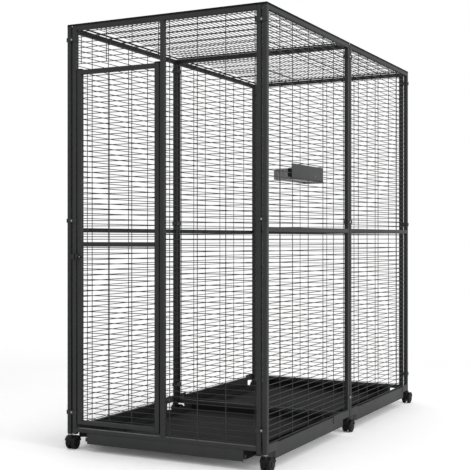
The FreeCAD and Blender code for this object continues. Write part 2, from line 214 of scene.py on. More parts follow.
# View of the photograph
CAMERA_PLACE = Vector((2.192, -4.587, 0.948))
CAMERA_AIM = Vector((-0.4532, 0.8913, 0.0))
CAMERA_SENSOR = 36
CAMERA_LENS = 76.14
CAMERA_RISE = 0.0058


class Slot(Enum):
    """The record's material slots."""

    COAT = "coat"
    TRAY = "tray"
    STEEL = "steel"
    PLASTIC = "plastic"
    TREAD = "tread"


class Grain(Enum):
    """The kinds of surface pattern that a finish can carry."""

    POWDER = "powder_grain"
    BRUSHED = "brushed_lines"
    MOULDED = "moulded_skin"


# Shader nodes


def fill(item: Node, **values: object) -> Node:
    """Sets a node's inputs.

    Args:
        item: The node.
        values: A value for each input, with _ for each space in its name.

    Returns:
        The node.
    """
    for name, value in values.items():
        item.inputs[name.replace("_", " ")].default_value = value
    return item


def add_node(tree: Tree, kind: str, **values: object) -> Node:
    """Adds a shader node of this kind, with its inputs set."""
    return fill(tree.nodes.new("ShaderNode" + kind), **values)


def product(tree: Tree, value: Socket, factor: Socket | float) -> Socket:
    """Multiplies a value.

    Args:
        tree: The tree that gets the node.
        value: The value.
        factor: Another value or a number.

    Returns:
        The product.
    """
    made = add_node(tree, "Math")
    made.operation = "MULTIPLY"
    tree.links.new(value, made.inputs[0])
    if isinstance(factor, float):
        made.inputs[1].default_value = factor
    else:
        tree.links.new(factor, made.inputs[1])
    return made.outputs["Value"]


def new_group(name: str, outputs: tuple[str, ...]) -> Tree:
    """Starts a shader node group with float outputs.

    Args:
        name: The group's name.
        outputs: The names of its output values.

    Returns:
        The empty group.
    """
    group = bpy.data.node_groups.new(name, "ShaderNodeTree")
    for socket in outputs:
        group.interface.new_socket(socket, in_out="OUTPUT", socket_type="NodeSocketFloat")
    group.nodes.new("NodeGroupOutput")
    return group


def noise_in(group: Tree, scale: float, detail: float, stretch: Vector) -> Socket:
    """Adds noise on stretched Object coordinates to a group.

    Args:
        group: The group that gets the nodes.
        scale: The noise's scale.
        detail: The noise's detail.
        stretch: The factor on each axis.

    Returns:
        The noise's value socket.
    """
    coordinates = add_node(group, "TexCoord")
    mapping = add_node(group, "Mapping", Scale=stretch)
    noise = add_node(group, "TexNoise", Scale=scale, Detail=detail)
    group.links.new(coordinates.outputs["Object"], mapping.inputs["Vector"])
    group.links.new(mapping.outputs["Vector"], noise.inputs["Vector"])
    return noise.outputs["Fac"]


@cache
def grain_group(grain: Grain) -> Tree:
    """Makes the group that holds one surface pattern, once.

    Args:
        grain: The pattern.

    Returns:
        A group with the outputs Tone, Sheen and Height.
    """
    even = Vector((1, 1, 1))
    along = Vector((1, 0.04, 1))
    recipes = {
        Grain.POWDER: ((14, 4, even), (5, 3, even), (620, 2, even)),
        Grain.BRUSHED: ((90, 6, along), (30, 4, along), (900, 3, along)),
        Grain.MOULDED: ((40, 3, even), (18, 2, even), (1100, 1, even)),
    }
    names = ("Tone", "Sheen", "Height")
    group = new_group(grain.value, names)
    output = group.nodes["Group Output"]
    for name, (scale, detail, stretch) in zip(names, recipes[grain]):
        group.links.new(noise_in(group, scale, detail, stretch), output.inputs[name])
    return group


@cache
def dust_group() -> Tree:
    """Makes the group for the thin dust film, thickest close to the floor.

    Returns:
        A group with the output Film.
    """
    group = new_group("dust_film", ("Film",))
    coordinates = add_node(group, "TexCoord")
    split = add_node(group, "SeparateXYZ")
    low = add_node(group, "MapRange", From_Min=0.0, From_Max=DUST_HEIGHT, To_Min=1.0, To_Max=DUST_LEAST)
    cloud = noise_in(group, *DUST_NOISE, Vector((1, 1, 1)))
    group.links.new(coordinates.outputs["Object"], split.inputs["Vector"])
    group.links.new(split.outputs["Z"], low.inputs["Value"])
    film = product(group, low.outputs["Result"], cloud)
    group.links.new(film, group.nodes["Group Output"].inputs["Film"])
    return group


@dataclass(frozen=True)
class Finish:
    """One surface finish: two tones, a sheen range, a grain and a dust film."""

    name: str
    dark: Triple
    light: Triple
    gloss: Pair
    grain: Grain = Grain.POWDER
    metallic: float = 0.0
    bump: float = 0.1
    dust: float = 0.0
    specular: float = 0.5

    @cache
    def material(self) -> bpy.types.Material:
        """Makes the finish's material, once.

        Returns:
            The material.
        """
        made = bpy.data.materials.new(self.name)
        made.use_nodes = True
        tree = made.node_tree
        shader = tree.nodes["Principled BSDF"]
        fill(shader, Metallic=self.metallic, Specular_IOR_Level=self.specular)
        grain = add_node(tree, "Group")
        grain.node_tree = grain_group(self.grain)
        dust = add_node(tree, "Group")
        dust.node_tree = dust_group()
        tone = self.blend(tree, grain.outputs["Tone"], self.dark, self.light)
        film = product(tree, dust.outputs["Film"], self.dust)
        dusty = self.blend(tree, film, self.dark, DUST)
        tree.links.new(tone.outputs["Result"], dusty.inputs["A"])
        sheen = add_node(tree, "MapRange", To_Min=self.gloss[0], To_Max=self.gloss[1])
        tree.links.new(grain.outputs["Sheen"], sheen.inputs["Value"])
        bump = add_node(tree, "Bump", Strength=self.bump, Distance=BUMP_DEPTH)
        tree.links.new(grain.outputs["Height"], bump.inputs["Height"])
        tree.links.new(dusty.outputs["Result"], shader.inputs["Base Color"])
        tree.links.new(sheen.outputs["Result"], shader.inputs["Roughness"])
        tree.links.new(bump.outputs["Normal"], shader.inputs["Normal"])
        return made

    @staticmethod
    def blend(tree: Tree, factor: Socket, a: Triple, b: Triple) -> Node:
        """Adds a colour mix that is driven by a value.

        Args:
            tree: The material's node tree.
            factor: The value that drives the mix.
            a: The colour at 0.
            b: The colour at 1.

        Returns:
            The mix node.
        """
        mix = add_node(tree, "Mix")
        mix.data_type = "RGBA"
        mix.inputs["A"].default_value = (*a, 1)
        mix.inputs["B"].default_value = (*b, 1)
        tree.links.new(factor, mix.inputs["Factor"])
        return mix


COAT = Finish("charcoal_powder_coat", (0.026, 0.027, 0.028), (0.038, 0.039, 0.040), (0.45, 0.60),
              bump=0.16, dust=0.06, specular=0.35)
# A lighter copy of the charcoal coat: painted light on the feeder's plates
PLATE_LIT_COAT = Finish("feeder_plate_painted_light_coat", (0.036, 0.037, 0.038), (0.048, 0.049, 0.050), (0.45, 0.60),
               bump=0.16, dust=0.06, specular=0.35)
# A lighter copy of the charcoal coat: painted highlight on the sill's top strip and on the left aprons'
# ledges
PAINTED_HIGHLIGHT = Finish("painted_highlight_coat", (0.046, 0.047, 0.048), (0.062, 0.063, 0.064), (0.34, 0.44),
              bump=0.10, dust=0.06, specular=0.40)
# A near-black copy of the charcoal coat: painted shade on the wall lips and on the roof panels' border rods
LIP_SHADE = Finish("lip_painted_shade_coat", (0.007, 0.007, 0.008), (0.011, 0.011, 0.012), (0.50, 0.65),
             bump=0.12, dust=0.02, specular=0.15)
# The trays' dark coat; the same dark coat is also painted as shade on the right aprons' ledges
TRAY = Finish("tray_coat_and_painted_shade", (0.010, 0.010, 0.011), (0.015, 0.015, 0.016), (0.55, 0.70),
              bump=0.12, dust=0.03, specular=0.10)
PLASTIC = Finish("black_moulding", (0.003, 0.003, 0.003), (0.006, 0.006, 0.006), (0.34, 0.48), Grain.MOULDED,
                 bump=0.10, dust=0.02, specular=0.25)
TREAD = Finish("black_tread", (0.003, 0.003, 0.003), (0.006, 0.006, 0.006), (0.42, 0.58), Grain.MOULDED,
               bump=0.16, dust=0.03, specular=0.25)
STEEL = Finish("brushed_steel", (0.50, 0.50, 0.51), (0.66, 0.66, 0.66), (0.22, 0.36), Grain.BRUSHED,
               metallic=1.0, bump=0.08)
DULL_STEEL = Finish("dull_steel", (0.16, 0.16, 0.165), (0.34, 0.34, 0.34), (0.10, 0.20), Grain.BRUSHED,
                    metallic=1.0, bump=0.08)
DARK_STEEL = Finish("dark_steel", (0.035, 0.035, 0.036), (0.060, 0.060, 0.060), (0.24, 0.36), Grain.BRUSHED,
                    metallic=1.0, bump=0.06)
ZINC = Finish("zinc_plate", (0.40, 0.41, 0.42), (0.58, 0.59, 0.60), (0.30, 0.45), Grain.MOULDED,
              metallic=1.0, bump=0.10)


# Modelling steps


def deselect() -> None:
    """Clears the selection, CAD nodes included."""
    bpy.ops.object.select_all(action="DESELECT")


def pick(*objects: Piece) -> None:
    """Selects these objects and makes the first one active.

    Args:
        objects: The objects to select.
    """
    deselect()
    for item in objects:
        item.select_set(True)
    bpy.context.view_layer.objects.active = objects[0]


def settle() -> Piece:
    """Puts the active object's place into its mesh.

    Returns:
        The active object.
    """
    bpy.ops.object.transform_apply(location=True, rotation=True, scale=True)
    return bpy.context.active_object


def bar(a: Corner, b: Corner) -> Piece:
    """Adds a square-edged bar between two opposite corners.

    Args:
        a: One corner.
        b: The opposite corner.

    Returns:
        The bar.
    """
    deselect()
    a, b = Vector(a), Vector(b)
    size = [abs(p - q) for p, q in zip(a, b)]
    bpy.ops.mesh.primitive_cube_add(size=1, location=(a + b) / 2, scale=size)
    return settle()


def edit_all() -> None:
    """Enters edit mode with everything selected."""
    bpy.ops.object.mode_set(mode="EDIT")
    bpy.ops.mesh.select_all(action="SELECT")


def extrude(way: Corner) -> None:
    """Extrudes the selected faces along a way."""
    bpy.ops.mesh.extrude_region_move(TRANSFORM_OT_translate={"value": way})


def turn_outwards() -> None:
    """Turns all faces outwards and leaves edit mode."""
    bpy.ops.mesh.select_all(action="SELECT")
    bpy.ops.mesh.normals_make_consistent(inside=False)
    bpy.ops.object.mode_set(mode="OBJECT")


def join(parts: list[Piece]) -> Piece:
    """Joins objects into the first one.

    Args:
        parts: The objects.

    Returns:
        The joined object.
    """
    pick(*parts)
    if len(parts) > 1:
        bpy.ops.object.join()
    return bpy.context.active_object


def soften(parts: list[Piece], width: float, segments: int = 2) -> Piece:
    """Joins objects and rounds all their edges.

    Args:
        parts: The objects.
        width: The width of the rounding.
        segments: The steps across it.

    Returns:
        The rounded object.
    """
    whole = join(parts)
    edit_all()
    bpy.ops.mesh.bevel(offset=width, segments=segments, affect="EDGES", clamp_overlap=True)
    bpy.ops.object.mode_set(mode="OBJECT")
    return whole


def wires(start: Vector, run: Vector, step: Vector = Vector(), count: int = 1) -> Piece:
    """Extrudes one round wire and repeats it in a row.

    Args:
        start: The middle of the first wire's end.
        run: The wire's length and direction.
        step: The way from one wire to the next.
        count: How many wires.

    Returns:
        The row of wires.
    """
    deselect()
    turn = run.to_track_quat("Z", "Y").to_euler()
    bpy.ops.mesh.primitive_circle_add(vertices=WIRE_SIDES, radius=WIRE_RADIUS, fill_type="NGON",
                                      location=start, rotation=turn)
    edit_all()
    extrude(run)
    turn_outwards()
    row = settle()
    if count > 1:
        repeat = row.modifiers.new("repeat", "ARRAY")
        repeat.use_relative_offset = False
        repeat.use_constant_offset = True
        repeat.constant_offset_displace = step
        repeat.count = count
        bpy.ops.object.modifier_apply(modifier=repeat.name)
    return row


def turned(profile: list[Pair], sides: int) -> Piece:
    """Draws a turned piece up from a disc, ring by ring, at the origin along +Z.

    Args:
        profile: A radius and a height for each ring.
        sides: The steps round the axis.

    Returns:
        The turned piece.
    """
    deselect()
    radius, height = profile[0]
    bpy.ops.mesh.primitive_circle_add(vertices=sides, radius=radius, fill_type="NGON",
                                      location=(0, 0, height))
    edit_all()
    for next_radius, next_height in profile[1:]:
        extrude((0, 0, next_height - height))
        factor = next_radius / radius
        bpy.ops.transform.resize(value=(factor, factor, 1), center_override=(0, 0, next_height))
        radius, height = next_radius, next_height
    turn_outwards()
    return settle()


def rings(shares: tuple[Pair, ...], radius: float, height: float) -> list[Pair]:
    """Gives a turned piece's rings from shares of a radius and a height."""
    return [(part * radius, level * height) for part, level in shares]


def place(item: Piece, spot: Vector, axis: Vector) -> Piece:
    """Turns a piece from +Z to an axis and moves it to its spot.

    Args:
        item: The piece, at the origin.
        spot: Where its origin goes.
        axis: Where its +Z goes.

    Returns:
        The piece.
    """
    pick(item)
    item.rotation_mode = "XYZ"
    item.rotation_euler = axis.to_track_quat("Z", "Y").to_euler()
    item.location = spot
    return settle()


def copies(master: Piece, spots: list[tuple[Vector, Vector]]) -> list[Piece]:
    """Copies a piece to each spot, with a mesh of its own, and removes the master.

    Args:
        master: The piece, at the origin along +Z.
        spots: A place and an axis for each copy.

    Returns:
        The copies.
    """
    made = []
    for spot, axis in spots:
        pick(master)
        bpy.ops.object.duplicate(linked=False)
        made.append(place(bpy.context.active_object, spot, axis))
    pick(master)
    bpy.ops.object.delete()
    return made


def sink(item: Piece, normal: Vector, inset: float, depth: float) -> None:
    """Insets the faces that look along a normal and extrudes them down.

    Args:
        item: The object.
        normal: The direction.
        inset: How far the faces' edges move in.
        depth: How far the faces go down.
    """
    pick(item)
    bpy.ops.object.mode_set(mode="EDIT")
    bpy.ops.mesh.select_mode(type="FACE")
    bpy.ops.mesh.select_all(action="DESELECT")
    bpy.ops.object.mode_set(mode="OBJECT")
    for face in item.data.polygons:
        face.select = face.normal.dot(normal) > FACING
    bpy.ops.object.mode_set(mode="EDIT")
    bpy.ops.mesh.inset(thickness=inset)
    extrude((0, 0, -depth))
    bpy.ops.object.mode_set(mode="OBJECT")


def cut(item: Piece, cutters: list[Piece]) -> Piece:
    """Cuts openings with the shapes of other objects and removes those.

    Args:
        item: The object to cut.
        cutters: The objects that make the openings.

    Returns:
        The cut object.
    """
    for tool in cutters:
        pick(item)
        opening = item.modifiers.new("opening", "BOOLEAN")
        opening.operation = "DIFFERENCE"
        opening.object = tool
        bpy.ops.object.modifier_apply(modifier=opening.name)
        pick(tool)
        bpy.ops.object.delete()
    pick(item)
    return item


def deliver(
    item: Piece,
    name: str,
    finish: Finish = COAT,
    body: str = "cage",
    slot: Slot | None = Slot.COAT,
    nodes: tuple[str, ...] = (),
) -> None:
    """Names a piece, shades and paints it and lets it ride on its body.

    Args:
        item: The piece.
        name: Its name.
        finish: Its finish.
        body: The CAD body that carries it.
        slot: The record's material slot, if it has one; it is not used.
        nodes: The CAD nodes that it stands for.
    """
    pick(item)
    item.name = item.data.name = name
    bpy.ops.object.shade_smooth_by_angle(angle=SMOOTH_ANGLE)
    item.data.materials.clear()
    item.data.materials.append(finish.material())
    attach(item, body)
    if nodes:
        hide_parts(*nodes)
    LOG.info("%s rides on %s", name, body)


def dress(item: Piece, node: str, finish: Finish = COAT, body: str = "cage", slot: Slot = Slot.COAT) -> None:
    """Delivers a piece in place of one CAD node and names it after that."""
    deliver(item, node + "_dressed", finish, body, slot, (node,))


def paint(node: str, finish: Finish) -> None:
    """Paints a CAD node that stays as it is.

    Args:
        node: The node's name.
        finish: Its finish.
    """
    materials = frame["nodes"][node].data.materials
    materials.clear()
    materials.append(finish.material())
    LOG.info("%s keeps its CAD form", node)


@dataclass(frozen=True)
class Wall:
    """A wall's plane: u runs along it, v runs inwards from its outer face."""

    corner: Vector
    along: Vector
    inward: Vector

    def point(self, u: float, v: float, z: float) -> Vector:
        """Gives the point at u, v and a height."""
        return self.corner + self.along * u + self.inward * v + Vector((0, 0, z))

    def bar(self, u: Pair, v: Pair, z: Pair) -> Piece:
        """Gives a bar between three pairs of limits."""
        return bar(self.point(u[0], v[0], z[0]), self.point(u[1], v[1], z[1]))

    def lip(self, u: Pair, low: float, high: float) -> Piece:
        """Adds a thin lip that laps a little over the rail's outer face.

        Args:
            u: Where the lip starts and ends.
            low: The top of the rail that carries it.
            high: The lip's upper edge.

        Returns:
            The lip.
        """
        return soften([self.bar(u, (-LIP_PROUD, LIP_SHEET), (low - LIP_LAP, high))], SHEET_ROUND)

    def rows(self, levels: list[float], u: Pair) -> list[Piece]:
        """Lays horizontal wires at these heights.

        Args:
            levels: The heights.
            u: Where the wires start and end.

        Returns:
            One object for each unbroken row.
        """
        made = []
        run = self.along * (u[1] - u[0] + 2 * WIRE_SINK)
        first = 0
        for n in range(1, len(levels) + 1):
            if n == len(levels) or levels[n] - levels[n - 1] > WIRE_GAP_LIMIT:
                start = self.point(u[0] - WIRE_SINK, MID_DEPTH + WIRE / 2, levels[first])
                made.append(wires(start, run, Vector((0, 0, PITCH)), n - first))
                first = n
        return made

    def uprights(self, places: list[float], z: Pair) -> list[Piece]:
        """Sets upright wires behind the horizontal ones.

        Args:
            places: Where they stand along the wall.
            z: Their lower and upper ends.

        Returns:
            The wires.
        """
        run = Vector((0, 0, z[1] - z[0] + 2 * WIRE_SINK))
        depth = MID_DEPTH + 1.5 * WIRE
        return [wires(self.point(u, depth, z[0] - WIRE_SINK), run) for u in places]


def levels(low: float, high: float, gap: Pair | None = None) -> list[float]:
    """Gives the heights of the wires between two rails, centred.

    Args:
        low: The lower limit.
        high: The upper limit.
        gap: A mid rail's lower and upper edge, where no wire lies.

    Returns:
        The heights.
    """
    steps = int((high - low - 2 * WIRE_MARGIN) / PITCH)
    first = low + (high - low - steps * PITCH) / 2
    heights = [first + n * PITCH for n in range(steps + 1)]
    if gap:
        heights = [z for z in heights if z + WIRE < gap[0] or z - WIRE > gap[1]]
    return heights


def spread(low: float, high: float, edges: Pair) -> list[float]:
    """Spreads the front's uprights evenly between two stiles.

    Args:
        low: The first stile's inner edge.
        high: The second stile's inner edge.
        edges: The way from each stile to its nearest upright.

    Returns:
        Where the uprights stand.
    """
    step = (high - low - sum(edges)) / (FRONT_UPRIGHTS - 1)
    return [low + edges[0] + n * step for n in range(FRONT_UPRIGHTS)]


@dataclass
class Cage:
    """The sizes of the whole frame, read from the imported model."""

    half_width: float
    front: float
    rear: float
    tube: float
    foot: float
    rail_top: float
    lip_top: float
    side_low: float
    sill: Pair

    @classmethod
    def from_frame(cls) -> "Cage":
        """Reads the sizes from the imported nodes.

        Returns:
            The cage's sizes.
        """
        stile_low, stile_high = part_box("front_left_stile")
        right_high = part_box("right_front_panel")[1]
        sill_low, sill_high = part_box("front_sill_rail")
        rear_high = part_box("rear_panel")[1]
        apron_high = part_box("right_front_apron")[1]
        tube = stile_high.x - stile_low.x
        return cls(right_high.x, stile_low.y, rear_high.y, tube, stile_low.z, stile_high.z, right_high.z,
                   apron_high.z, (sill_low.z, sill_high.z))

    @property
    def post(self) -> Pair:
        """The foot and the top of the stiles."""
        return self.foot, self.rail_top

    @property
    def rail_low(self) -> float:
        """The underside of the top rails."""
        return self.rail_top - self.tube

    @property
    def mid(self) -> Pair:
        """The lower and upper edge of the walls' mid rail."""
        return MID_RAIL - self.tube / 2, MID_RAIL + self.tube / 2

    def tubes(self, wall: Wall, outer: Pair, inner: Pair) -> list[Piece]:
        """Adds a wall panel's stiles, top rail and mid rail.

        Args:
            wall: The panel's plane.
            outer: The panel's ends.
            inner: The stiles' inner edges.

        Returns:
            The tubes.
        """
        return [
            wall.bar((outer[0], inner[0]), (0, self.tube), self.post),
            wall.bar((inner[1], outer[1]), (0, self.tube), self.post),
            wall.bar(inner, (0, TOP_DEPTH), (self.rail_low, self.rail_top)),
            wall.bar(inner, (0, MID_DEPTH), self.mid),
        ]

    def front_wall(self) -> Wall:
        """Gives the plane of the front wall, with u equal to X."""
        return Wall(Vector((0, self.front, 0)), RIGHT, BACK)


@dataclass
class SideWall:
    """A side wall panel: stiles, top rail, mid rail, lip and wire mesh."""

    node: str
    sign: int
    cage: Cage

    def build(self) -> None:
        """Models the panel and puts it in place of its node."""
        cage = self.cage
        low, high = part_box(self.node)
        wall = Wall(Vector((self.sign * cage.half_width, low.y, 0)), BACK, Vector((-self.sign, 0, 0)))
        end = high.y - low.y
        inner = (cage.tube, end - cage.tube)
        tubes = cage.tubes(wall, (0, end), inner)
        lip_top = cage.lip_top if self.sign > 0 else cage.rail_top + LOW_LIP
        # The lip's near-black coat is painted shade
        deliver(wall.lip((0, end), cage.rail_top, lip_top), self.node + "_lip", LIP_SHADE)
        parts = [soften(tubes, TUBE_ROUND)]
        parts += wall.rows(levels(cage.side_low, cage.rail_low, cage.mid), inner)
        shift, trim = (LEFT_SHIFT, APRON_TRIM) if self.sign < 0 else (0.0, 0.0)
        places = [u + shift for u in SIDE_UPRIGHTS]
        parts += wall.uprights(places, (cage.side_low - trim, cage.rail_low + UPRIGHT_LAP))
        dress(join(parts), self.node)


@dataclass
class FrontWall:
    """The fixed pieces of the front: stile, rails, fixed field and transom mesh."""

    cage: Cage

    def build(self) -> None:
        """Models the front's fixed pieces."""
        cage = self.cage
        wall = cage.front_wall()
        deep = (0, cage.tube)
        low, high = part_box("front_fixed_panel")
        mullion = (low.x, low.x + cage.tube)
        outer = (high.x - cage.tube, high.x)
        inner = (mullion[1], outer[0])
        stile_low, stile_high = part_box("front_left_stile")
        span = (stile_high.x, outer[0])
        tubes = [
            wall.bar((stile_low.x, stile_high.x), deep, cage.post),
            wall.bar(span, deep, (cage.rail_low, cage.rail_top)),
        ]
        sill_top = cage.sill[1] - SILL_TRIM
        sill = soften([wall.bar(span, deep, (cage.sill[0], sill_top - SILL_HIGHLIGHT_BAND))], SHEET_ROUND)
        # The sill's top strip is a painted highlight: it takes the lighter coat where light falls on the
        # sill's top
        cap = soften([wall.bar(span, deep, (sill_top - SILL_HIGHLIGHT_BAND, sill_top))], SILL_HIGHLIGHT_BAND / 4)
        deliver(cap, "front_sill_cap", PAINTED_HIGHLIGHT)
        lip_low, lip_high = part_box("front_top_rail")
        # The lip's near-black coat is painted shade
        deliver(wall.lip((lip_low.x, lip_high.x), cage.rail_top, cage.lip_top), "front_lip", LIP_SHADE)
        deliver(join([soften(tubes, TUBE_ROUND), sill]), "front_ring",
                nodes=("front_left_stile", "front_top_rail", "front_sill_rail"))

        stiles = [wall.bar(mullion, deep, (sill_top, cage.rail_low)), wall.bar(outer, deep, cage.post)]
        heights = levels(cage.sill[1], cage.rail_low)
        mesh = [soften(stiles, TUBE_ROUND)]
        mesh += wall.rows(heights, inner)
        mesh += wall.uprights(spread(*inner, FRONT_EDGES), (sill_top, cage.rail_low))
        deliver(join(mesh), "front_field", nodes=("front_fixed_panel",))

        span = (stile_high.x, mullion[0])
        heights = [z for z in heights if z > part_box("front_transom_mesh")[0].z]
        transom = wall.rows(heights, span)
        transom += wall.uprights(spread(*span, TRANSOM_EDGES), (heights[0], cage.rail_low))
        deliver(join(transom), "transom_wires", nodes=("front_transom_mesh",))


@dataclass
class RearWall:
    """The rear wall panel."""

    cage: Cage

    def build(self) -> None:
        """Models the rear panel in place of its node."""
        cage = self.cage
        wall = Wall(Vector((0, cage.rear, 0)), RIGHT, FORWARD)
        low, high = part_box("rear_panel")
        stile_low, stile_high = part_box("front_left_stile")
        inner = (stile_high.x, -stile_high.x)
        tubes = cage.tubes(wall, (stile_low.x, -stile_low.x), inner)
        tubes.append(wall.bar(inner, (0, cage.tube), cage.sill))
        lip = wall.lip((low.x, high.x), cage.rail_top, cage.rail_top + LOW_LIP)
        # The lip's near-black coat is painted shade
        deliver(lip, "rear_lip", LIP_SHADE)
        parts = [soften(tubes, TUBE_ROUND)]
        parts += wall.rows(levels(cage.sill[1], cage.rail_low, cage.mid), inner)
        parts += wall.uprights(list(REAR_UPRIGHTS), (cage.sill[1], cage.rail_low + UPRIGHT_LAP))
        dress(join(parts), "rear_panel")


@dataclass
class RoofPanel:
    """A roof panel: a border of rods and long wires, on cross wires that lie on the rails."""

    node: str
    cage: Cage

    def build(self) -> None:
        """Models the roof panel in place of its node."""
        rail = self.cage.rail_top
        bed = rail + WIRE
        top = bed + ROOF_ROD
        low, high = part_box(self.node)
        border = self.cage.half_width - self.cage.tube - ROOF_ROD_OFFSET
        inner = border - ROOF_ROD
        y = (low.y, high.y)
        under = top - ROOF_ROD_SEEN
        rods = []
        for edge in (y[0], y[1] - ROOF_ROD_SEEN):
            rods.append(bar((-border, edge, under), (border, edge + ROOF_ROD_SEEN, top)))
        for sign in (-1, 1):
            side = (sign * (border - ROOF_ROD_SEEN), sign * border)
            rods.append(bar((side[0], y[0], under), (side[1], y[1], top)))
        # The border rods' near-black coat is painted shade
        deliver(soften(rods, ROOF_ROD_SEEN / 3), self.node + "_border", LIP_SHADE)
        across = levels(-inner + ROOF_WIRE_MARGIN, inner - ROOF_WIRE_MARGIN)
        start = Vector((across[0], y[0] + WIRE, bed + WIRE / 2))
        run = Vector((0, y[1] - y[0] - 2 * WIRE, 0))
        long = wires(start, run, Vector((PITCH, 0, 0)), len(across))
        first = sum(y) / 2 - (ROOF_CROSS_COUNT - 1) / 2 * ROOF_CROSS_PITCH
        start = Vector((low.x, first, rail + WIRE / 2))
        run = Vector((high.x - low.x, 0, 0))
        cross = wires(start, run, Vector((0, ROOF_CROSS_PITCH, 0)), ROOF_CROSS_COUNT)
        dress(join([long, cross]), self.node)


@dataclass
class PlainBars:
    """Nodes that are one plain tube each, given rounded edges."""

    nodes: tuple[str, ...]

    def build(self) -> None:
        """Models each tube in place of its node."""
        for node in self.nodes:
            dress(soften([bar(*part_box(node))], TUBE_ROUND), node)


@dataclass
class DoorLeaf:
    """The door: its leaf, the plug and bushes that ride on it and the fixed hinge tabs."""

    cage: Cage

    def build(self) -> None:
        """Models the leaf and its plug and paints its pivots."""
        cage = self.cage
        wall = cage.front_wall()
        low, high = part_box("door_panel")
        deep = (0, cage.tube)
        inner = (low.x + cage.tube, high.x - cage.tube)
        height = (low.z + cage.tube, high.z - cage.tube)
        free = (low.x, inner[0] + DOOR_STILE_LAP)
        foot = low.z + DOOR_TRIM
        tubes = [
            wall.bar(free, deep, (foot, high.z)),
            wall.bar((inner[1], high.x), deep, (low.z, high.z)),
            wall.bar(inner, deep, (foot, height[0])),
            wall.bar(inner, deep, (height[1], high.z)),
            wall.bar(inner, (0, MID_DEPTH), DOOR_MID),
        ]
        parts = [soften(tubes, TUBE_ROUND)]
        parts += wall.rows(levels(*height, DOOR_MID), inner)
        parts += wall.uprights(spread(*inner, DOOR_EDGES), height)
        deliver(join(parts), "door_leaf", body="door", nodes=("door_panel",))
        plug = wall.bar(free, deep, (high.z, high.z + DOOR_PLUG_RISE))
        deliver(soften([plug], SHEET_ROUND), "door_plug", PLASTIC, "door", Slot.PLASTIC)
        paint("door_bushes", PLASTIC)
        paint("hinge_tabs", COAT)


@dataclass
class Latch:
    """The slide latch: guide block, bolt with a turned knob, and keeper."""

    cage: Cage

    def build(self) -> None:
        """Models the latch's three pieces."""
        low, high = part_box("latch_body")
        bolt_low, bolt_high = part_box("latch_bolt")
        height = (low.z + high.z) / 2
        plate = bar((low.x, high.y - CLAMP_PLATE, low.z), high)
        guide = bar(low, (low.x + LATCH_BLOCK, high.y - CLAMP_PLATE, high.z))
        deliver(soften([plate, guide], SHEET_ROUND), "latch_guide", body="door", nodes=("latch_body",))

        knob_radius = (bolt_high.z - bolt_low.z) / 2
        knob_x = bolt_high.x - knob_radius
        shank_y = self.cage.front - LATCH_RISE
        profile = [(SHANK_POINT, 0), (SHANK_RADIUS, SHANK_CHAMFER), (SHANK_RADIUS, knob_x - bolt_low.x)]
        shank = turned(profile, SHANK_SIDES)
        place(shank, Vector((bolt_low.x, shank_y, height)), RIGHT)
        reach = bolt_high.y - bolt_low.y
        seat = (Vector((knob_x, bolt_high.y, height)), FORWARD)
        profile = [(KNOB_NECK, 0), (KNOB_NECK, reach * KNOB_NECK_SHARE)]
        profile += rings(KNOB_RINGS, knob_radius, reach)
        knob = place(turned(profile, KNOB_SIDES), *seat)
        deliver(join([shank, knob]), "latch_knob", DARK_STEEL, "latch", Slot.STEEL, ("latch_bolt",))
        # The bright disc on the knob's face is a painted highlight
        cap = turned(rings(KNOB_HIGHLIGHT_RINGS, KNOB_HIGHLIGHT, reach), KNOB_HIGHLIGHT_SIDES)
        deliver(place(cap, *seat), "latch_cap", ZINC, "latch", None)

        low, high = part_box("latch_keeper")
        strap = Vector((high.x, shank_y - KEEPER_LOOP, height + KEEPER_LOOP))
        cheeks = [
            bar((low.x, low.y, height + KEEPER_LOOP), high),
            bar(low, (high.x, high.y, height - KEEPER_LOOP)),
            bar((low.x, low.y, height - KEEPER_LOOP), strap),
        ]
        deliver(soften(cheeks, SHEET_ROUND), "latch_loop", nodes=("latch_keeper",))


